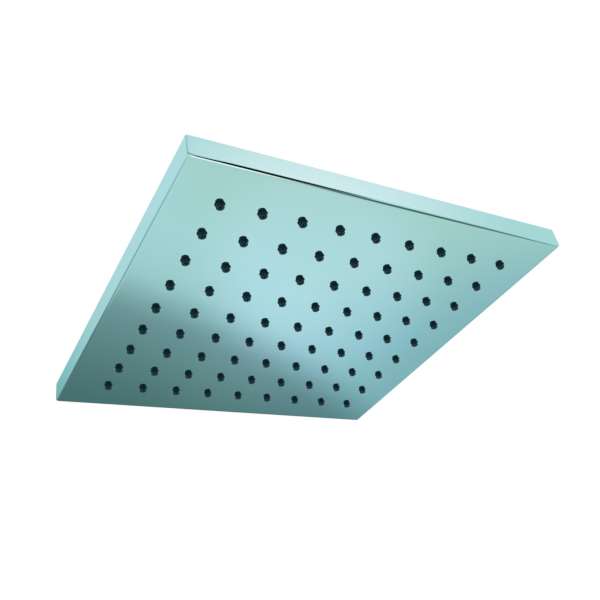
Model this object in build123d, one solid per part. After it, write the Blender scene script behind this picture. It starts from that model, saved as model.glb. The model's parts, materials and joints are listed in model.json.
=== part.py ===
from build123d import *
import os
from math import asin, cos, degrees, floor, radians, sin, sqrt

os.makedirs("parts", exist_ok=True)

# Square rain shower head with a ball joint, hung by its inlet thread.
# All sizes are in millimetres. Heights are counted up from the spray face.

# Face shell: one plated tray, spray face and side walls together
head_side = 200.0
edge_height = 11.0
face_thickness = 2.0
rim_thickness = 1.4
ledge_width = 1.2
edge_radius = 1.25

# Nozzle field, with regular outlines standing for its many small rounds
nozzle_pitch = 19.4
nozzle_margin = 18.0
hole_diameter = 4.3
nozzle_clearance = 0.2
nozzle_taper = 1.5
nozzle_reach = 2.0
nozzle_bore = 1.0
round_sides = 12
bore_sides = 6

# Soft mat, clamp plate and chamber gasket inside the tray
mat_thickness = 1.2
mat_gap = 0.5
plate_thickness = 2.4
slot_width = 7.0
nozzles_per_slot = 3
gasket_width = 2.4
gasket_inset = 6.0
gasket_corner = 6.0
groove_depth = 0.8
groove_clearance = 0.1

# Back cover: plate, low dome and threaded boss
cover_thickness = 2.5
cover_recess = 0.5
cover_gap = 0.15
cover_corner = 0.5
dome_width = 22.0
dome_rise = 5.0
shelf_margin = 1.5
boss_wall = 2.4
boss_gap = 0.5
port_diameter = 14.0
rib_thickness = 1.6
rib_gap = 3.0

# Ball connector with a G 1/2 female inlet
thread_bore = 18.64
thread_length = 10.0
relief_depth = 1.3
relief_length = 3.0
inlet_diameter = 26.0
inlet_floor = 1.0
inlet_cone = 3.5
flat_depth = 1.0
flat_start = 2.0
waterway = 11.0
neck_wall = 2.5
neck_gap = 4.0
ball_over_inlet = 4.0
ball_cut = 2.5

# Ball joint: seal below the ball, friction ring and collar above it
ball_clearance = 0.05
socket_clearance = 0.1
pass_clearance = 0.1
ring_thickness = 1.95
ring_low_angle = 84.0
seal_high_angle = 115.0
seal_span = 28.0
seal_base = 1.8
collar_shoulder = 1.5
collar_wall = 2.9
collar_gap = 0.5
collar_chamfer = 0.8
lip_height = 2.1
thread_clearance = 0.1

# Washer and filter in the inlet
washer_clearance = 0.12
washer_hole = 12.0
washer_thickness = 2.0
filter_inset = 0.2
filter_thickness = 0.4
filter_rim = 1.2
filter_hole = 2.0
filter_pitch = 3.0

# Plan sizes inside the tray
rim_side = head_side - 2 * rim_thickness
inner_side = rim_side - 2 * ledge_width
mat_side = inner_side - 2 * mat_gap
gasket_side = mat_side - 2 * gasket_inset
nozzles_per_row = floor((inner_side - 2 * nozzle_margin) / nozzle_pitch) + 1
nozzle_spots = GridLocations(nozzle_pitch, nozzle_pitch, nozzles_per_row, nozzles_per_row)

# Heights of the stack above the spray face
plate_bottom = face_thickness + mat_thickness
plate_top = plate_bottom + plate_thickness
gasket_bottom = plate_top - groove_depth
cover_top = edge_height - cover_recess
cover_bottom = cover_top - cover_thickness
shelf_top = cover_top + dome_rise

# Ball joint: radii from the ball outwards, then heights
ball_radius = (inlet_diameter + ball_over_inlet) / 2
neck_radius = waterway / 2 + neck_wall
ring_inner = ball_radius + ball_clearance
ring_outer = ring_inner + ring_thickness
seat_radius = ring_outer + ball_clearance
socket_radius = ring_outer + socket_clearance
boss_radius = socket_radius + boss_wall
thread_radius = boss_radius + thread_clearance
collar_radius = thread_radius + collar_wall
shelf_radius = collar_radius + shelf_margin
dome_radius = shelf_radius + dome_width
opening_radius = inlet_diameter / 2 + pass_clearance
seal_low_angle = seal_high_angle + seal_span
ball_z = cover_top + seal_base - ring_inner * cos(radians(seal_low_angle))
collar_top = ball_z + sqrt(seat_radius**2 - opening_radius**2) + lip_height
neck_top = collar_top + neck_gap
cone_top = neck_top + inlet_cone
washer_z = cone_top + inlet_floor
thread_z = washer_z + relief_length
mouth_z = thread_z + thread_length
washer_radius = thread_bore / 2 - washer_clearance

from_below = (Align.CENTER, Align.CENTER, Align.MIN)


def slab(side, bottom, top, radius=0.0):
    """Square block between two heights, with its upright corners rounded."""
    outline = RectangleRounded(side, side, radius) if radius > 0 else Rectangle(side, side)
    return Pos(0, 0, bottom) * extrude(outline, top - bottom)


def turned(outline):
    """Full turn of a section drawn in the XZ plane, radius along X and height along Z."""
    return revolve(Plane.XZ * make_face(outline), Axis.Z)


def on_sphere(radius, angle):
    """Point of a section at a polar angle from the top of a sphere about the ball's centre."""
    return (radius * sin(radians(angle)), ball_z + radius * cos(radians(angle)))


def sphere_arc(radius, start, end):
    """Arc of such a sphere between two polar angles."""
    middle = on_sphere(radius, (start + end) / 2)
    return ThreePointArc(on_sphere(radius, start), middle, on_sphere(radius, end))


def angle_at(width, radius):
    """Polar angle at which the upper half of a sphere has the given half width."""
    return degrees(asin(width / radius))


def make_face_shell():
    outer = slab(head_side, 0, edge_height)
    outer = fillet(outer.faces().sort_by(Axis.Z)[0].edges(), edge_radius)
    cavity = slab(inner_side, face_thickness, edge_height)
    rebate = slab(rim_side, cover_bottom, edge_height, cover_corner + cover_gap)
    hole = extrude(RegularPolygon(hole_diameter / 2, round_sides), face_thickness)
    return outer - cavity - rebate - [spot * hole for spot in nozzle_spots]


def make_nozzle_mat():
    root = Pos(0, 0, face_thickness) * RegularPolygon(hole_diameter / 2 - nozzle_clearance, round_sides)
    nozzle = extrude(root, -(face_thickness + nozzle_reach), taper=nozzle_taper)
    tip = Pos(0, 0, -nozzle_reach) * RegularPolygon(nozzle_bore / 2, bore_sides)
    bore = extrude(tip, nozzle_reach + plate_bottom)
    sheet = slab(mat_side, face_thickness, plate_bottom)
    sheet += [spot * nozzle for spot in nozzle_spots]
    return sheet - [spot * bore for spot in nozzle_spots]


def gasket_ring(bottom, top, clearance=0.0):
    """Square ring along the gasket's middle line, wider by the clearance on both sides."""
    half = gasket_width / 2 + clearance
    outside = slab(gasket_side + 2 * half, bottom, top, gasket_corner + half)
    return outside - slab(gasket_side - 2 * half, bottom, top, gasket_corner - half)


def make_clamp_plate():
    plate = slab(mat_side, plate_bottom, plate_top)
    plate -= gasket_ring(gasket_bottom, plate_top, groove_clearance)
    first = -(nozzles_per_row - 1) / 2
    slots = []
    for row in range(nozzles_per_row):
        for start in range(0, nozzles_per_row, nozzles_per_slot):
            end = min(start + nozzles_per_slot, nozzles_per_row) - 1
            x = (first + (start + end) / 2) * nozzle_pitch
            y = (first + row) * nozzle_pitch
            length = (end - start) * nozzle_pitch + slot_width
            slot = Box(length, slot_width, plate_thickness, align=from_below)
            slots.append(Pos(x, y, plate_bottom) * slot)
    return plate - slots


def make_chamber_gasket():
    return gasket_ring(gasket_bottom, cover_bottom)


def make_back_cover():
    plate = slab(rim_side - 2 * cover_gap, cover_bottom, cover_top, cover_corner)
    plate -= Pos(0, 0, cover_bottom) * Cylinder(dome_radius, cover_thickness, align=from_below)
    boss_top = ball_z + collar_shoulder - boss_gap
    dome = Polyline(
        (dome_radius, cover_bottom),
        (dome_radius, cover_top),
        (shelf_radius, shelf_top),
        (boss_radius, shelf_top),
        (boss_radius, boss_top),
        (socket_radius, boss_top),
        (socket_radius, cover_top),
        (port_diameter / 2, cover_top),
        (port_diameter / 2, cover_bottom),
        (boss_radius, cover_bottom),
        (boss_radius, shelf_top - cover_thickness),
        (shelf_radius, shelf_top - cover_thickness),
        close=True,
    )
    return plate + turned(dome) + make_ribs()


def make_ribs():
    """Four ribs under the cover that hold the clamp plate down against the water."""
    start = dome_radius + rib_gap
    end = (gasket_side - gasket_width) / 2 - rib_gap
    rib = Pos((start + end) / 2, 0, plate_top) * Box(
        end - start, rib_thickness, cover_bottom - plate_top, align=from_below
    )
    return [turn * rib for turn in PolarLocations(0, 4)]


def make_ball_seal():
    top = on_sphere(ring_inner, seal_high_angle)
    foot = on_sphere(ring_inner, seal_low_angle)
    seat = sphere_arc(ring_inner, seal_high_angle, seal_low_angle)
    rest = Polyline(foot, (foot[0], cover_top), (ring_outer, cover_top), (ring_outer, top[1]), top)
    return turned(seat + rest)


def make_friction_ring():
    high_angle = angle_at(opening_radius, ring_inner)
    inside = sphere_arc(ring_inner, high_angle, ring_low_angle)
    outside = sphere_arc(ring_outer, ring_low_angle, high_angle)
    bottom = Line(inside @ 1, outside @ 0)
    top = Line(outside @ 1, inside @ 0)
    return turned(inside + bottom + outside + top)


def make_collar_nut():
    lip_angle = angle_at(opening_radius, seat_radius)
    shoulder_angle = 90 - angle_at(collar_shoulder, seat_radius)
    seat = sphere_arc(seat_radius, lip_angle, shoulder_angle)
    shoulder_z = ball_z + collar_shoulder
    bottom = shelf_top + collar_gap
    rest = Polyline(
        seat @ 1,
        (thread_radius, shoulder_z),
        (thread_radius, bottom),
        (collar_radius, bottom),
        (collar_radius, collar_top - collar_chamfer),
        (collar_radius - collar_chamfer, collar_top),
        (opening_radius + lip_height, collar_top),
        seat @ 0,
    )
    return turned(seat + rest)


def make_ball_connector():
    neck_angle = angle_at(neck_radius, ball_radius)
    bottom = ball_radius - ball_cut
    cut_angle = 90 + angle_at(bottom, ball_radius)
    ball = sphere_arc(ball_radius, neck_angle, cut_angle)
    relief_radius = thread_bore / 2 + relief_depth
    rest = Polyline(
        ball @ 1,
        (waterway / 2, ball_z - bottom),
        (waterway / 2, washer_z),
        (relief_radius, washer_z),
        (relief_radius, thread_z),
        (thread_bore / 2, thread_z),
        (thread_bore / 2, mouth_z),
        (inlet_diameter / 2, mouth_z),
        (inlet_diameter / 2, cone_top),
        (neck_radius, neck_top),
        ball @ 0,
    )
    flats_z = cone_top + flat_start
    flats_height = mouth_z - flats_z
    across = Box(inlet_diameter, inlet_diameter - 2 * flat_depth, flats_height, align=from_below)
    around = Box(inlet_diameter, inlet_diameter, flats_height, align=from_below)
    return turned(ball + rest) - Pos(0, 0, flats_z) * (around - across)


def make_inlet_washer():
    ring = Circle(washer_radius) - Circle(washer_hole / 2)
    return Pos(0, 0, washer_z) * extrude(ring, washer_thickness)


def make_filter_screen():
    radius = washer_radius - filter_inset
    rings = floor((radius - filter_rim - filter_hole / 2) / filter_pitch)
    hole = RegularPolygon(filter_hole / 2, bore_sides)
    disc = Circle(radius) - hole
    for ring in range(1, rings + 1):
        disc -= [spot * hole for spot in PolarLocations(ring * filter_pitch, 6 * ring)]
    return Pos(0, 0, washer_z + washer_thickness) * extrude(disc, filter_thickness)


pieces = {
    "face_shell": make_face_shell(),
    "nozzle_mat": make_nozzle_mat(),
    "clamp_plate": make_clamp_plate(),
    "chamber_gasket": make_chamber_gasket(),
    "back_cover": make_back_cover(),
    "ball_seal": make_ball_seal(),
    "friction_ring": make_friction_ring(),
    "collar_nut": make_collar_nut(),
    "ball_connector": make_ball_connector(),
    "inlet_washer": make_inlet_washer(),
    "filter_screen": make_filter_screen(),
}

# The origin is the middle of the inlet's mouth, with the head hanging below it
for name, piece in pieces.items():
    export_step(Pos(0, 0, -mouth_z) * piece, f"parts/{name}.step")
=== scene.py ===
import json
from math import asin, cos, pi, radians, sin

import bmesh
import bpy
from mathutils import Matrix, Vector


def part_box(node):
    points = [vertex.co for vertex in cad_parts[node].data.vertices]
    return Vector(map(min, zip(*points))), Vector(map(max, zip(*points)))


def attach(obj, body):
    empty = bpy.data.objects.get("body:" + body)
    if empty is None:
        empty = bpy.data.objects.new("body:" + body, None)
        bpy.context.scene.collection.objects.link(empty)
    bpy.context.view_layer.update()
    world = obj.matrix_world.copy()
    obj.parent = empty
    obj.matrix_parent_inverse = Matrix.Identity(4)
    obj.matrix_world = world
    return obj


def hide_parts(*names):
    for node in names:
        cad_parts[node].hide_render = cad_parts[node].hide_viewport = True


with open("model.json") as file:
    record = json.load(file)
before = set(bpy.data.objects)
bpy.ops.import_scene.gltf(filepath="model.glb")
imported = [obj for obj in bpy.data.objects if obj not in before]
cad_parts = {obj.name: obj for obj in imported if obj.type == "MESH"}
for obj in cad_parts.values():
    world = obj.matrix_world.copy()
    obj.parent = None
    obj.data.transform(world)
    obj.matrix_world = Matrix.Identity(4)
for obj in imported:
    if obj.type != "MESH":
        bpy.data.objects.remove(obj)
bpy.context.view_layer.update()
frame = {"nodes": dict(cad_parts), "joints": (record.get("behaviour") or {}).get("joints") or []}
mm = 0.001  # pieces are modelled in millimetres above the spray face, then placed in the frame
weld = 0.001  # points this close count as one
folds = {"mitre": radians(8), "sharp": radians(35), "crease": radians(60)}  # least turn from face to face
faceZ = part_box("face_shell")[0].z
print("frame loaded, spray face at", round(faceZ / mm, 2), "mm")


# Modelling helpers
def vertsOf(geom):
    return [item for item in geom if isinstance(item, bmesh.types.BMVert)]


def mergeDoubles(bm):
    bmesh.ops.remove_doubles(bm, verts=bm.verts, dist=weld)


def openRing(bm, sides, radius, height):  # circle of edges with no face in it
    made = bmesh.ops.create_circle(bm, segments=sides, radius=radius)["verts"]
    bmesh.ops.translate(bm, verts=made, vec=(0, 0, height))
    return list({edge for vert in made for edge in vert.link_edges})


def growRing(bm, edges, scale, rise):  # next ring of a profile, joined by a band of faces
    grown = bmesh.ops.extrude_edge_only(bm, edges=edges)["geom"]
    verts = set(vertsOf(grown))
    bmesh.ops.scale(bm, verts=list(verts), vec=(scale, scale, 1))
    bmesh.ops.translate(bm, verts=list(verts), vec=(0, 0, rise))
    rim = [item for item in grown if isinstance(item, bmesh.types.BMEdge)]
    return [edge for edge in rim if verts.issuperset(edge.verts)]


def followProfile(bm, edges, start, path):  # rings along (half width, height) points
    width, height = start
    for nextWidth, nextHeight in path:
        edges = growRing(bm, edges, nextWidth / width, nextHeight - height)
        width, height = nextWidth, nextHeight
    return edges


def reach(vert):  # half width of the square outline that a point lies on
    return max(abs(vert.co.x), abs(vert.co.y))


def squareRing(bm, edges, half):  # next ring at the same height, pushed out to a square outline
    ring = growRing(bm, edges, 1, 0)
    for vert in {vert for edge in ring for vert in edge.verts}:
        share = half / reach(vert)
        vert.co.x *= share
        vert.co.y *= share


def outlineEdges(bm, half, height):  # open border of a sheet along a square outline
    def onOutline(vert):
        return abs(reach(vert) - half) < weld and abs(vert.co.z - height) < weld

    return [edge for edge in bm.edges if edge.is_boundary and all(map(onOutline, edge.verts))]


def bevelEdges(bm, edges, radius, segments):
    bmesh.ops.bevel(bm, geom=edges, offset=radius, segments=segments, profile=0.5,
                    affect="EDGES", material=-1, clamp_overlap=True)


def cornerEdges(bm, half, low, high):  # upright corner edges of a square wall
    def atCorner(vert):
        return abs(abs(vert.co.x) - half) < weld and abs(abs(vert.co.y) - half) < weld

    found = []
    for edge in bm.edges:
        heights = sorted(vert.co.z for vert in edge.verts)
        upright = abs(heights[0] - low) < weld and abs(heights[1] - high) < weld
        if upright and all(map(atCorner, edge.verts)):
            found.append(edge)
    return found


def mitreEdges(bm, half, depth):  # folded edges where two sides of a square piece meet, down to a depth
    def onMitre(vert):
        return abs(abs(vert.co.x) - abs(vert.co.y)) < weld and reach(vert) > half - depth - weld

    return [edge for edge in bm.edges
            if all(map(onMitre, edge.verts)) and edge.calc_face_angle(0) > folds["mitre"]]


def creaseEdges(bm, height, inner, outer):  # folded edges at one height, between two half widths
    found = []
    for edge in bm.edges:
        level = all(abs(vert.co.z - height) < weld for vert in edge.verts)
        inside = all(inner <= reach(vert) <= outer for vert in edge.verts)
        if level and inside and edge.calc_face_angle(0) > folds["crease"]:
            found.append(edge)
    return found


def roundCorner(bm, vert, radius, segments):  # rounds one corner of a section line
    bmesh.ops.bevel(bm, geom=[vert], offset=radius, segments=segments, profile=0.5,
                    affect="VERTICES", material=-1)


def sectionLine(bm, start, points):  # straight runs of a section from a vertex, in the XZ plane
    line = [start]
    for x, z in points:
        line.append(bm.verts.new((x, 0, z)))
        bm.edges.new(line[-2:])
    return line


def arcAbout(bm, vert, centreZ, angle, steps):  # arc of a section about the ball's centre
    made = bmesh.ops.spin(bm, geom=[vert], cent=(0, 0, centreZ), axis=(0, 1, 0),
                          angle=angle, steps=steps)
    return vertsOf(made["geom_last"])[0]


def turnSection(bm, steps):  # full turn of the section about the inlet's axis
    bmesh.ops.spin(bm, geom=bm.verts[:] + bm.edges[:], cent=(0, 0, 0), axis=(0, 0, 1),
                   angle=2 * pi, steps=steps, use_merge=True)
    mergeDoubles(bm)


def finishPiece(bm, name, body, node, material):
    bmesh.ops.dissolve_degenerate(bm, dist=weld, edges=bm.edges)
    bmesh.ops.recalc_face_normals(bm, faces=bm.faces)
    for face in bm.faces:
        face.smooth = True
    for edge in bm.edges:
        edge.smooth = edge.calc_face_angle(0) < folds["sharp"]
    bmesh.ops.scale(bm, verts=bm.verts, vec=(mm, mm, mm))
    bmesh.ops.translate(bm, verts=bm.verts, vec=(0, 0, faceZ))
    mesh = bpy.data.meshes.new(name)
    bm.to_mesh(mesh)
    bm.free()
    mesh.materials.append(material)
    piece = bpy.data.objects.new(name, mesh)
    bpy.context.scene.collection.objects.link(piece)
    flats = piece.modifiers.new("flatNormals", "WEIGHTED_NORMAL")  # flats stay mirror flat
    flats.weight = 100
    flats.keep_sharp = True
    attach(piece, body)
    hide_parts(node)
    print(name, "made,", len(mesh.polygons), "faces")


# Materials
noiseRange = {"low": 0.3, "high": 0.7}  # where most values of a noise lie
plating = {"edgeTint": (0.75, 0.90, 0.91), "driftScale": 14, "hazeScale": 90}
poreDepth = 0.00002  # metres


def newMaterial(name, metallic, specular=0.5, edgeTint=(1, 1, 1)):
    material = bpy.data.materials.new(name)
    material.use_nodes = True
    shader = material.node_tree.nodes["Principled BSDF"]
    shader.inputs["Metallic"].default_value = metallic
    shader.inputs["Specular IOR Level"].default_value = specular
    shader.inputs["Specular Tint"].default_value = (*edgeTint, 1)
    return material, shader


def addNoise(material, scale, detail):
    tree = material.node_tree
    place = tree.nodes.new("ShaderNodeTexCoord")
    noise = tree.nodes.new("ShaderNodeTexNoise")
    noise.inputs["Scale"].default_value = scale
    noise.inputs["Detail"].default_value = detail
    tree.links.new(place.outputs["Object"], noise.inputs["Vector"])
    return noise.outputs["Fac"]


def tintBetween(material, shader, factor, dark, light, low=0.35, high=0.65):  # colour from tone to tone
    tree = material.node_tree
    ramp = tree.nodes.new("ShaderNodeValToRGB")
    ends = ramp.color_ramp.elements
    ends[0].position, ends[0].color = low, (*dark, 1)
    ends[1].position, ends[1].color = high, (*light, 1)
    tree.links.new(factor, ramp.inputs["Fac"])
    tree.links.new(ramp.outputs["Color"], shader.inputs["Base Color"])


def roughBetween(material, shader, factor, smooth, rough):
    tree = material.node_tree
    spread = tree.nodes.new("ShaderNodeMapRange")
    spread.inputs["From Min"].default_value = noiseRange["low"]
    spread.inputs["From Max"].default_value = noiseRange["high"]
    spread.inputs["To Min"].default_value = smooth
    spread.inputs["To Max"].default_value = rough
    tree.links.new(factor, spread.inputs["Value"])
    tree.links.new(spread.outputs["Result"], shader.inputs["Roughness"])


def bumpFrom(material, shader, factor, distance):
    tree = material.node_tree
    bump = tree.nodes.new("ShaderNodeBump")
    bump.inputs["Distance"].default_value = distance
    tree.links.new(factor, bump.inputs["Height"])
    tree.links.new(bump.outputs["Normal"], shader.inputs["Normal"])


def platedFinish(name, greenTone, blueTone, smooth, rough):  # bright plating with a faint drift of tone
    material, shader = newMaterial(name, metallic=1.0, edgeTint=plating["edgeTint"])
    drift = addNoise(material, plating["driftScale"], detail=1)
    haze = addNoise(material, plating["hazeScale"], detail=4)
    tintBetween(material, shader, drift, greenTone, blueTone)
    roughBetween(material, shader, haze, smooth, rough)
    return material


def softFinish(name, dark, light, grain, smooth, rough, **gloss):  # rubber, nylon and bare plastic
    material, shader = newMaterial(name, metallic=0.0, **gloss)
    tintBetween(material, shader, addNoise(material, grain, detail=3), dark, light)
    roughBetween(material, shader, addNoise(material, 2 * grain, detail=4), smooth, rough)
    bumpFrom(material, shader, addNoise(material, 8 * grain, detail=2), poreDepth)
    return material


def steelFinish(name, dark, light, stainScale, scuffScale, smooth, rough):
    material, shader = newMaterial(name, metallic=1.0)
    tintBetween(material, shader, addNoise(material, stainScale, detail=3), dark, light)
    roughBetween(material, shader, addNoise(material, scuffScale, detail=3), smooth, rough)
    return material


# Scales and grain are per metre, smooth and rough are the ends of the roughness
platedLooks = {
    "platedPlastic": {
        "greenTone": (0.395, 0.704, 0.705), "blueTone": (0.389, 0.698, 0.727),
        "smooth": 0.03, "rough": 0.06},
    "platedBrass": {
        "greenTone": (0.47, 0.71, 0.70), "blueTone": (0.46, 0.70, 0.73),
        "smooth": 0.05, "rough": 0.09},
}
softLooks = {
    "nozzleSilicone": {
        "dark": (0.003, 0.015, 0.024), "light": (0.004, 0.020, 0.031), "grain": 300,
        "smooth": 0.3, "rough": 0.42, "specular": 0.3, "edgeTint": (0.4, 0.9, 1.0)},
    "innerPlastic": {
        "dark": (0.62, 0.62, 0.59), "light": (0.70, 0.70, 0.67), "grain": 120,
        "smooth": 0.4, "rough": 0.55},
    "sealRubber": {
        "dark": (0.010, 0.010, 0.010), "light": (0.020, 0.020, 0.019), "grain": 200,
        "smooth": 0.55, "rough": 0.7},
    "ringNylon": {
        "dark": (0.66, 0.64, 0.56), "light": (0.73, 0.71, 0.63), "grain": 150,
        "smooth": 0.35, "rough": 0.5},
}
steelLook = {
    "dark": (0.50, 0.50, 0.50), "light": (0.58, 0.58, 0.57), "stainScale": 400,
    "scuffScale": 700, "smooth": 0.25, "rough": 0.4,
}
finishes = {}
for name, look in platedLooks.items():
    finishes[name] = platedFinish(name, **look)
for name, look in softLooks.items():
    finishes[name] = softFinish(name, **look)
finishes["filterSteel"] = steelFinish("filterSteel", **steelLook)
print(len(finishes), "finishes ready")

# Spray face and side walls, one plated tray
nozzleField = {"pitch": 19.4, "perRow": 9}
tray = {
    "half": 100.0,
    "height": 11.0,
    "faceThick": 2.0,
    "innerHalf": 97.4,
    "rimHalf": 98.6,
    "ledgeHeight": 8.0,
    "holeRadius": 2.15,
    "holeSides": 32,
    "holeRound": {"radius": 0.25, "segments": 3},
    "edgeRound": {"radius": 1.25, "segments": 8},
    "cornerRound": {"radius": 0.8, "segments": 5},
    "rimRound": {"radius": 0.35, "segments": 3},
    "insideRound": {"radius": 0.65, "segments": 4},
}
cellHalf = nozzleField["pitch"] / 2
fieldHalf = nozzleField["pitch"] * nozzleField["perRow"] / 2


def repeatCell(bm):  # copies one nozzle's cell over the field and welds the cells together
    cell = bm.verts[:] + bm.edges[:] + bm.faces[:]
    pitch, count = nozzleField["pitch"], nozzleField["perRow"]
    places = [(index - (count - 1) / 2) * pitch for index in range(count)]
    for y in places:
        for x in places:
            copied = vertsOf(bmesh.ops.duplicate(bm, geom=cell)["geom"])
            bmesh.ops.translate(bm, verts=copied, vec=(x, y, 0))
    bmesh.ops.delete(bm, geom=vertsOf(cell), context="VERTS")
    mergeDoubles(bm)


def makeTray():
    bm = bmesh.new()
    squareRing(bm, openRing(bm, tray["holeSides"], tray["holeRadius"], 0), cellHalf)
    repeatCell(bm)
    half, rim, inner = tray["half"], tray["rimHalf"], tray["innerHalf"]
    height, ledge, floor = tray["height"], tray["ledgeHeight"], tray["faceThick"]
    border = growRing(bm, outlineEdges(bm, fieldHalf, 0), inner / fieldHalf, 0)
    lifted = bmesh.ops.extrude_face_region(bm, geom=bm.faces[:], edges_exclude=set(border),
                                           use_keep_orig=True)
    bmesh.ops.translate(bm, verts=vertsOf(lifted["geom"]), vec=(0, 0, floor))
    wall = [(inner, ledge), (rim, ledge), (rim, height), (half, height), (half, 0), (inner, 0)]
    followProfile(bm, outlineEdges(bm, inner, floor), (inner, floor), wall)
    mergeDoubles(bm)
    bmesh.ops.recalc_face_normals(bm, faces=bm.faces)
    bevelEdges(bm, cornerEdges(bm, rim, ledge, height), **tray["insideRound"])
    bevelEdges(bm, creaseEdges(bm, 0, rim, half + weld), **tray["edgeRound"])
    bevelEdges(bm, creaseEdges(bm, height, inner, half + weld), **tray["rimRound"])
    bevelEdges(bm, mitreEdges(bm, half, tray["edgeRound"]["radius"]), **tray["cornerRound"])
    bevelEdges(bm, creaseEdges(bm, 0, 0, fieldHalf), **tray["holeRound"])
    finishPiece(bm, "sprayFace", "head", "face_shell", finishes["platedPlastic"])


makeTray()

# Soft mat with its nozzles, moulded in one
nozzle = {
    "sides": 24,
    "rootRadius": 1.95,
    "tipRadius": 1.84,
    "reach": 2.0,
    "tipRound": 0.35,
    "tipTurns": (30, 60, 90),
    "dishRadius": 1.0,
    "dishDepth": 0.25,
    "boreRadius": 0.5,
}
mat = {"half": 96.9, "thick": 1.2}


def makeNozzles():
    bm = bmesh.new()
    bottom = tray["faceThick"]
    top = bottom + mat["thick"]
    root = openRing(bm, nozzle["sides"], nozzle["rootRadius"], bottom)
    squareRing(bm, root, cellHalf)
    tip, lip, tipZ = nozzle["tipRadius"], nozzle["tipRound"], -nozzle["reach"]
    section = [(tip, tipZ + lip)]
    for turn in map(radians, nozzle["tipTurns"]):  # rounded lip of the tip
        section.append((tip - lip * (1 - cos(turn)), tipZ + lip * (1 - sin(turn))))
    section.append((nozzle["dishRadius"], tipZ))
    section.append((nozzle["boreRadius"], tipZ + nozzle["dishDepth"]))
    section.append((nozzle["boreRadius"], top))
    boreTop = followProfile(bm, root, (nozzle["rootRadius"], bottom), section)
    squareRing(bm, boreTop, cellHalf)
    repeatCell(bm)
    edge = [(mat["half"], bottom), (mat["half"], top), (fieldHalf, top)]
    followProfile(bm, outlineEdges(bm, fieldHalf, bottom), (fieldHalf, bottom), edge)
    mergeDoubles(bm)
    finishPiece(bm, "nozzleMat", "head", "nozzle_mat", finishes["nozzleSilicone"])


makeNozzles()

# Back cover: plate, low dome and the boss under the collar
joint = {"ballZ": (frame["joints"][0]["pos_m"][2] - faceZ) / mm, "ballRadius": 15.0}
cover = {
    "half": 98.45,
    "bottom": 8.0,
    "top": 10.5,
    "domeRadius": 46.0,
    "shelfRadius": 24.0,
    "shelfTop": 15.5,
    "bossRadius": 19.5,
    "bossTop": joint["ballZ"] + 1.0,
    "socketRadius": 17.1,
    "portRadius": 7.0,
    "cornerRound": {"radius": 0.5, "segments": 4},
    "edgeRound": {"radius": 0.4, "segments": 4},
    "footRound": {"radius": 9.0, "segments": 10},
    "shelfRound": {"radius": 3.0, "segments": 8},
    "lipRound": {"radius": 0.3, "segments": 3},
    "turnSteps": 96,
}
rib = {"count": 4, "start": 49.0, "end": 86.7, "thick": 1.6, "bottom": 5.6, "sunk": 0.2}


def addRibs(bm):  # ribs that hold the plate below
    length = rib["end"] - rib["start"]
    height = cover["bottom"] + rib["sunk"] - rib["bottom"]
    for index in range(rib["count"]):
        block = bmesh.ops.create_cube(bm, size=1)["verts"]
        bmesh.ops.scale(bm, verts=block, vec=(length, rib["thick"], height))
        place = (rib["start"] + length / 2, 0, rib["bottom"] + height / 2)
        bmesh.ops.translate(bm, verts=block, vec=place)
        turn = Matrix.Rotation(2 * pi * index / rib["count"], 3, "Z")
        bmesh.ops.rotate(bm, verts=block, cent=(0, 0, 0), matrix=turn)


def makeCover():
    bm = bmesh.new()
    half, top, bottom = cover["half"], cover["top"], cover["bottom"]
    shelfUnder = cover["shelfTop"] - (top - bottom)
    foot = cover["domeRadius"] + 2 * cover["footRound"]["radius"]
    start = bm.verts.new((foot, 0, top))
    line = sectionLine(bm, start, [
        (cover["domeRadius"], top),
        (cover["shelfRadius"], cover["shelfTop"]),
        (cover["bossRadius"], cover["shelfTop"]),
        (cover["bossRadius"], cover["bossTop"]),
        (cover["socketRadius"], cover["bossTop"]),
        (cover["socketRadius"], top),
        (cover["portRadius"], top),
        (cover["portRadius"], bottom),
        (cover["bossRadius"], bottom),
        (cover["bossRadius"], shelfUnder),
        (cover["shelfRadius"], shelfUnder),
        (cover["domeRadius"], bottom),
        (foot, bottom),
    ])
    roundCorner(bm, line[1], **cover["footRound"])
    roundCorner(bm, line[2], **cover["shelfRound"])
    for corner in (line[4], line[5]):  # top of the boss
        roundCorner(bm, corner, **cover["lipRound"])
    turnSection(bm, cover["turnSteps"])
    for height in (top, bottom):
        rim = [edge for edge in bm.edges if edge.is_boundary
               and all(abs(vert.co.z - height) < weld for vert in edge.verts)]
        squareRing(bm, rim, half)
    followProfile(bm, outlineEdges(bm, half, top), (half, top), [(half, bottom)])
    mergeDoubles(bm)
    bmesh.ops.recalc_face_normals(bm, faces=bm.faces)
    bevelEdges(bm, cornerEdges(bm, half, bottom, top), **cover["cornerRound"])
    nearEdge = half - 2 * cover["cornerRound"]["radius"]
    bevelEdges(bm, creaseEdges(bm, top, nearEdge, half + weld), **cover["edgeRound"])
    addRibs(bm)
    finishPiece(bm, "backCover", "head", "back_cover", finishes["platedPlastic"])


makeCover()

# Collar nut over the ball, with flutes to grip it by
collar = {
    "seatRadius": 17.05,
    "seatSteps": 10,
    "openingRadius": 13.1,
    "shoulderOver": 1.5,
    "threadRadius": 19.6,
    "outerRadius": 22.5,
    "bottom": 16.0,
    "lipHeight": 2.1,
    "chamfer": 0.8,
    "edgeRound": {"radius": 0.4, "segments": 4},
    "lipRound": {"radius": 0.25, "segments": 3},
    "turnSteps": 144,
    "fluteLow": 19.0,
    "fluteHigh": 33.0,
    "fluteDeep": 0.35,
    "fluteEdge": 0.12,
}


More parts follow.
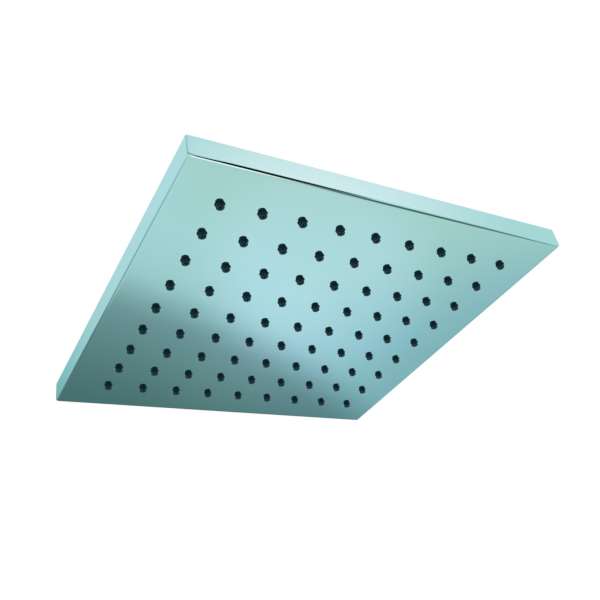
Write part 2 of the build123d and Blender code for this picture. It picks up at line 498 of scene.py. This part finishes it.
def fluteFaces(bm):  # every other face round the grip band
    found = []
    for face in bm.faces:
        heights = [vert.co.z for vert in face.verts]
        low = abs(min(heights) - collar["fluteLow"]) < weld
        high = abs(max(heights) - collar["fluteHigh"]) < weld
        turn = Vector((1, 0)).angle_signed(face.calc_center_median().xy) / (2 * pi)
        column = round(turn * collar["turnSteps"] - 0.5)
        if low and high and column % 2 == 0:
            found.append(face)
    return found


def makeCollar():
    bm = bmesh.new()
    ballZ, seat = joint["ballZ"], collar["seatRadius"]
    lipAngle = asin(collar["openingRadius"] / seat)
    shoulderAngle = pi / 2 - asin(collar["shoulderOver"] / seat)
    lipZ = ballZ + seat * cos(lipAngle)
    top = lipZ + collar["lipHeight"]
    lip = bm.verts.new((collar["openingRadius"], 0, lipZ))
    shoulder = arcAbout(bm, lip, ballZ, shoulderAngle - lipAngle, collar["seatSteps"])
    outer, chamfer = collar["outerRadius"], collar["chamfer"]
    line = sectionLine(bm, shoulder, [
        (collar["threadRadius"], ballZ + collar["shoulderOver"]),
        (collar["threadRadius"], collar["bottom"]),
        (outer, collar["bottom"]),
        (outer, collar["fluteLow"]),
        (outer, collar["fluteHigh"]),
        (outer, top - chamfer),
        (outer - chamfer, top),
        (collar["openingRadius"] + collar["lipHeight"], top),
    ])
    bm.edges.new((line[-1], lip))
    for corner in (line[3], line[6], line[7], line[8]):  # foot, chamfer and the rim of the opening
        roundCorner(bm, corner, **collar["edgeRound"])
    roundCorner(bm, lip, **collar["lipRound"])
    turnSection(bm, collar["turnSteps"])
    bmesh.ops.recalc_face_normals(bm, faces=bm.faces)
    bmesh.ops.inset_individual(bm, faces=fluteFaces(bm), thickness=collar["fluteEdge"],
                               depth=-collar["fluteDeep"], use_even_offset=True)
    finishPiece(bm, "collarNut", "head", "collar_nut", finishes["platedPlastic"])


makeCollar()

# Ball connector with its inlet thread
connector = {
    "neckRadius": 8.0,
    "ballCut": 2.5,
    "ballSteps": 40,
    "waterway": 5.5,
    "coneHeight": 3.5,
    "inletRadius": 13.0,
    "floor": 1.0,
    "reliefRadius": 10.62,
    "reliefLength": 3.0,
    "boreRadius": 10.48,
    "threadLength": 10.0,
    "leadIn": 0.7,
    "flatHalf": 12.0,
    "flatStart": 2.0,
    "cutRound": {"radius": 0.4, "segments": 3},
    "waterwayRound": {"radius": 0.3, "segments": 3},
    "mouthRound": {"radius": 0.5, "segments": 4},
    "coneRound": {"radius": 0.8, "segments": 4},
    "neckTopRound": {"radius": 2.0, "segments": 6},
    "neckFootRound": {"radius": 1.0, "segments": 6},
    "turnSteps": 128,
}
thread = {
    "pitch": 1.814,
    "turns": 4.25,
    "stepsPerTurn": 64,
    "start": 0.9,
    "crestRadius": 9.34,
    "rootRadius": 10.6,
    "crestHalf": 0.14,
    "rootHalf": 0.8,
}


def addThread(bm, bottom):  # one ridge wound up the bore, closed at both ends
    crest, root = thread["crestRadius"], thread["rootRadius"]
    middle = bottom + thread["start"]
    section = [(root, middle - thread["rootHalf"]), (crest, middle - thread["crestHalf"]),
               (crest, middle + thread["crestHalf"]), (root, middle + thread["rootHalf"])]
    ridge = bm.faces.new([bm.verts.new((x, 0, z)) for x, z in section])
    steps = round(thread["turns"] * thread["stepsPerTurn"])
    rise = thread["pitch"] / thread["stepsPerTurn"]
    bmesh.ops.spin(bm, geom=ridge.verts[:] + ridge.edges[:] + [ridge], cent=(0, 0, 0), axis=(0, 0, 1),
                   dvec=(0, 0, rise), angle=2 * pi * thread["turns"], steps=steps)


def cutFlats(bm, flatZ):  # two flats for the spanner
    half = connector["flatHalf"]
    for side in (1, -1):
        region = [face for face in bm.faces if min(vert.co.z for vert in face.verts) > flatZ - weld
                  and max(vert.co.to_2d().length for vert in face.verts) > connector["boreRadius"] + weld]
        geom = set(region)
        for face in region:
            geom.update(face.verts)
            geom.update(face.edges)
        bmesh.ops.bisect_plane(bm, geom=list(geom), dist=weld,
                               plane_co=(0, side * half, 0), plane_no=(0, side, 0))
    for vert in bm.verts:
        if vert.co.z > flatZ + weld and abs(vert.co.y) > half:
            vert.co.y = half if vert.co.y > 0 else -half


def makeConnector():
    bm = bmesh.new()
    ballZ, ball = joint["ballZ"], joint["ballRadius"]
    mouth = -faceZ / mm
    threadZ = mouth - connector["threadLength"]
    washerZ = threadZ - connector["reliefLength"]
    coneTop = washerZ - connector["floor"]
    neckTop = coneTop - connector["coneHeight"]
    flatZ = coneTop + connector["flatStart"]
    bottom = ball - connector["ballCut"]
    neckAngle = asin(connector["neckRadius"] / ball)
    cutAngle = pi / 2 + asin(bottom / ball)
    neck = bm.verts.new((connector["neckRadius"], 0, ballZ + ball * cos(neckAngle)))
    cut = arcAbout(bm, neck, ballZ, cutAngle - neckAngle, connector["ballSteps"])
    line = sectionLine(bm, cut, [
        (connector["waterway"], ballZ - bottom),
        (connector["waterway"], washerZ),
        (connector["reliefRadius"], washerZ),
        (connector["reliefRadius"], threadZ),
        (connector["boreRadius"], threadZ),
        (connector["boreRadius"], mouth - connector["leadIn"]),
        (connector["boreRadius"] + connector["leadIn"], mouth),
        (connector["inletRadius"], mouth),
        (connector["inletRadius"], flatZ),
        (connector["inletRadius"], coneTop),
        (connector["neckRadius"], neckTop),
    ])
    bm.edges.new((line[-1], neck))
    roundCorner(bm, cut, **connector["cutRound"])
    roundCorner(bm, line[1], **connector["waterwayRound"])
    roundCorner(bm, line[8], **connector["mouthRound"])
    roundCorner(bm, line[10], **connector["coneRound"])
    roundCorner(bm, line[11], **connector["neckTopRound"])
    roundCorner(bm, neck, **connector["neckFootRound"])
    turnSection(bm, connector["turnSteps"])
    cutFlats(bm, flatZ)
    addThread(bm, threadZ)
    finishPiece(bm, "ballConnector", "inlet", "ball_connector", finishes["platedBrass"])


makeConnector()

# CAD nodes whose shape is right get a better finish
nodeFinishes = {
    "clamp_plate": "innerPlastic",
    "chamber_gasket": "sealRubber",
    "ball_seal": "sealRubber",
    "friction_ring": "ringNylon",
    "inlet_washer": "sealRubber",
    "filter_screen": "filterSteel",
}
for node, finish in nodeFinishes.items():
    for slot in frame["nodes"][node].material_slots:
        slot.material = finishes[finish]
print("inner nodes finished")


# Node helpers for the floor and the studio
def ballFade(tree, vector, start, end):  # smooth step between two depths in a ball, 0 at its rim
    ball = tree.nodes.new("ShaderNodeTexGradient")
    ball.gradient_type = "SPHERICAL"
    tree.links.new(vector, ball.inputs["Vector"])
    fade = tree.nodes.new("ShaderNodeMapRange")
    fade.interpolation_type = "SMOOTHSTEP"
    fade.inputs["From Min"].default_value = start
    fade.inputs["From Max"].default_value = end
    tree.links.new(ball.outputs["Fac"], fade.inputs["Value"])
    return fade.outputs["Result"]


def joinValues(tree, operation, first, second):
    join = tree.nodes.new("ShaderNodeMath")
    join.operation = operation
    join.use_clamp = True
    tree.links.new(first, join.inputs[0])
    tree.links.new(second, join.inputs[1])
    return join.outputs["Value"]


def mixShaders(tree, factor, first, second):
    mix = tree.nodes.new("ShaderNodeMixShader")
    tree.links.new(factor, mix.inputs["Fac"])
    tree.links.new(first, mix.inputs[1])
    tree.links.new(second, mix.inputs[2])
    return mix.outputs["Shader"]


# Stage: pale floor that runs out into the white surround
stage = {
    "floorZ": -0.6,
    "floorRadius": 2.0,
    "floorSides": 96,
    "fadeStart": 0.25,
    "fadeEnd": 0.95,
    "dark": (0.86, 0.87, 0.87),
    "light": (0.88, 0.88, 0.88),
    "cloudScale": 6,
    "roughness": 0.9,
    "specular": 0.2,
}


def fadeFloor(material, shader):  # white towards the rim, where the camera sees it
    tree = material.node_tree
    place = tree.nodes.new("ShaderNodeTexCoord")
    level = tree.nodes.new("ShaderNodeMapping")
    level.inputs["Scale"].default_value = (1 / stage["floorRadius"], 1 / stage["floorRadius"], 0)
    tree.links.new(place.outputs["Object"], level.inputs["Vector"])
    fade = ballFade(tree, level.outputs["Vector"], 1 - stage["fadeStart"], 1 - stage["fadeEnd"])
    path = tree.nodes.new("ShaderNodeLightPath")
    seen = joinValues(tree, "MULTIPLY", fade, path.outputs["Is Camera Ray"])
    white = tree.nodes.new("ShaderNodeEmission")
    mixed = mixShaders(tree, seen, shader.outputs["BSDF"], white.outputs["Emission"])
    tree.links.new(mixed, tree.nodes["Material Output"].inputs["Surface"])


def makeFloor():
    bm = bmesh.new()
    bmesh.ops.create_circle(bm, cap_ends=True, segments=stage["floorSides"], radius=stage["floorRadius"])
    bmesh.ops.translate(bm, verts=bm.verts, vec=(0, 0, stage["floorZ"]))
    mesh = bpy.data.meshes.new("floor")
    bm.to_mesh(mesh)
    bm.free()
    floor = bpy.data.objects.new("floor", mesh)
    bpy.context.scene.collection.objects.link(floor)
    material, shader = newMaterial("paleFloor", metallic=0.0, specular=stage["specular"])
    clouds = addNoise(material, stage["cloudScale"], detail=3)
    tintBetween(material, shader, clouds, stage["dark"], stage["light"], **noiseRange)
    shader.inputs["Roughness"].default_value = stage["roughness"]
    fadeFloor(material, shader)
    mesh.materials.append(material)
    floor.visible_glossy = False  # the plating mirrors the studio
    print("floor laid")


makeFloor()

# Soft tones of the studio that the plating mirrors. Place is azimuth from +Y towards +X and elevation,
# spread is half width and half height, all in degrees, and soft is the share of it that fades out
studio = {
    "level": (0.97, 0.97, 0.97),
    "diffuse": (0.90, 0.91, 0.91),
    "white": (1, 1, 1),
    "tones": [
        # dark room ahead
        {"place": (3.5, -4), "spread": (45.5, 36), "soft": 0.10, "tone": (0.56, 0.60, 0.61)},
        {"place": (10, 3.5), "spread": (37.5, 50), "soft": 0.35, "tone": (0.27, 0.37, 0.35)},
        # half tones beside it
        {"place": (50, 7), "spread": (45, 46.5), "soft": 0.25, "tone": (0.53, 0.65, 0.68)},
        {"place": (56.5, -47), "spread": (34, 21), "soft": 0.60, "tone": (0.93, 0.91, 0.82)},
        {"place": (36.5, -34.5), "spread": (11, 11.5), "soft": 0.55, "tone": (1.14, 1.09, 1.17)},
        # windows
        {"place": (144.5, 35.5), "spread": (17.5, 16.5), "soft": 0.70, "tone": (1.65, 1.22, 1.23)},
        {"place": (-31.5, 43.5), "spread": (14.5, 10.5), "soft": 0.70, "tone": (1.12, 1.05, 1.07)},
        # dark stand behind, and what is round it
        {"place": (154, -9), "spread": (7, 40), "soft": 0.15, "tone": (0.01, 0.01, 0.01)},
        {"place": (168, -10), "spread": (8.5, 36), "soft": 0.30, "tone": (0.45, 0.47, 0.47)},
        {"place": (100, -52), "spread": (32, 14), "soft": 0.50, "tone": (0.13, 0.19, 0.18)},
        {"place": (137, -38), "spread": (15, 15), "soft": 0.35, "tone": (0.12, 0.16, 0.15)},
        # small tones ahead, one above and two low down
        {"place": (-12.5, 27.5), "spread": (8, 7.5), "soft": 0.70, "tone": (0.82, 1.10, 1.07)},
        {"place": (-33, -20), "spread": (23, 27), "soft": 0.80, "tone": (0.42, 0.50, 0.50)},
        {"place": (-8, -30), "spread": (15, 13), "soft": 0.60, "tone": (0.36, 0.44, 0.44)},
        # room behind
        {"place": (-142, 0), "spread": (48, 50), "soft": 0.50, "tone": (0.08, 0.09, 0.09)},
        # dim ceiling
        {"place": (60, 68), "spread": (30, 18), "soft": 0.80, "tone": (0.45, 0.50, 0.50)},
        {"place": (-150, 74), "spread": (22, 14), "soft": 0.80, "tone": (0.60, 0.64, 0.64)},
        # wall beside
        {"place": (-112, 50), "spread": (38, 20), "soft": 0.90, "tone": (0.82, 0.85, 0.86)},
        {"place": (-82, 36), "spread": (34, 26), "soft": 0.90, "tone": (0.56, 0.62, 0.63)},
        # light from below
        {"place": (128, -64), "spread": (15, 12), "soft": 0.30, "tone": (2.70, 1.60, 1.55)},
    ],
}
mixSockets = {"first": 6, "second": 7, "result": 2}  # colour sockets of a Mix node


def toneSpread(tree, direction, tone):  # how much of a tone shows in a direction, from 0 to 1
    azimuth, elevation = map(radians, tone["place"])
    width, height = (sin(radians(angle)) for angle in tone["spread"])
    place = tree.nodes.new("ShaderNodeMapping")
    place.vector_type = "TEXTURE"
    place.inputs["Location"].default_value = (
        sin(azimuth) * cos(elevation), cos(azimuth) * cos(elevation), sin(elevation))
    place.inputs["Rotation"].default_value = (elevation, 0, -azimuth)
    place.inputs["Scale"].default_value = (width, 1, height)
    tree.links.new(direction, place.inputs["Vector"])
    return ballFade(tree, place.outputs["Vector"], 0, tone["soft"])


def backdrop(tree, colour):  # one plain colour all round
    shader = tree.nodes.new("ShaderNodeBackground")
    shader.inputs["Color"].default_value = (*colour, 1)
    return shader.outputs["Background"]


def makeWorld():
    world = bpy.data.worlds.new("studio")
    bpy.context.scene.world = world
    world.use_nodes = True
    tree = world.node_tree
    tree.nodes.clear()
    direction = tree.nodes.new("ShaderNodeTexCoord").outputs["Generated"]
    plain = tree.nodes.new("ShaderNodeRGB")
    plain.outputs["Color"].default_value = (*studio["level"], 1)
    colour = plain.outputs["Color"]
    for tone in studio["tones"]:
        mix = tree.nodes.new("ShaderNodeMix")
        mix.data_type = "RGBA"
        mix.blend_type = "MULTIPLY"
        tree.links.new(toneSpread(tree, direction, tone), mix.inputs["Factor"])
        tree.links.new(colour, mix.inputs[mixSockets["first"]])
        mix.inputs[mixSockets["second"]].default_value = (*tone["tone"], 1)
        colour = mix.outputs[mixSockets["result"]]
    mirrored = tree.nodes.new("ShaderNodeBackground")
    tree.links.new(colour, mirrored.inputs["Color"])
    path = tree.nodes.new("ShaderNodeLightPath").outputs
    soft = backdrop(tree, studio["diffuse"])
    lit = mixShaders(tree, path["Is Glossy Ray"], soft, mirrored.outputs["Background"])
    seen = joinValues(tree, "ADD", path["Is Camera Ray"], path["Is Transmission Ray"])
    shown = mixShaders(tree, seen, lit, backdrop(tree, studio["white"]))  # white past the object
    out = tree.nodes.new("ShaderNodeOutputWorld")
    tree.links.new(shown, out.inputs["Surface"])
    print("studio has", len(studio["tones"]), "tones")


makeWorld()

# Soft lamp above for the matt surfaces
keyLamp = {"place": (-0.5, -0.7, 0.9), "size": 0.8, "power": 3.0}


def makeLamp():
    data = bpy.data.lights.new("keyLamp", "AREA")
    data.shape = "DISK"
    data.size = keyLamp["size"]
    data.energy = keyLamp["power"]
    lamp = bpy.data.objects.new("keyLamp", data)
    bpy.context.scene.collection.objects.link(lamp)
    aim = Vector((0, 0, faceZ)) - Vector(keyLamp["place"])
    turn = aim.to_track_quat("-Z", "Y").to_matrix().to_4x4()
    lamp.matrix_world = Matrix.Translation(keyLamp["place"]) @ turn
    lamp.visible_glossy = False  # the plating mirrors the studio's tones instead
    lamp.visible_camera = False
    print("lamp set")


makeLamp()

# Camera at the photograph's viewing angle, fitted to the rows of nozzles
view = {
    "place": (-0.18505, -0.27819, -0.25764),
    "turn": (125.39, 10.73, -29.72),
    "sensor": 36.0,
    "lens": 43.89,
    "shift": (-0.0425, -0.0503),
    "clipStart": 0.01,
}


def makeCamera():
    data = bpy.data.cameras.new("camera")
    camera = bpy.data.objects.new("camera", data)
    bpy.context.scene.collection.objects.link(camera)
    camera.location = view["place"]
    camera.rotation_euler = [radians(angle) for angle in view["turn"]]
    data.sensor_width = view["sensor"]
    data.lens = view["lens"]
    data.shift_x, data.shift_y = view["shift"]
    data.clip_start = view["clipStart"]
    bpy.context.scene.camera = camera
    print("camera set")


makeCamera()
bpy.context.scene.view_settings.view_transform = "Standard"
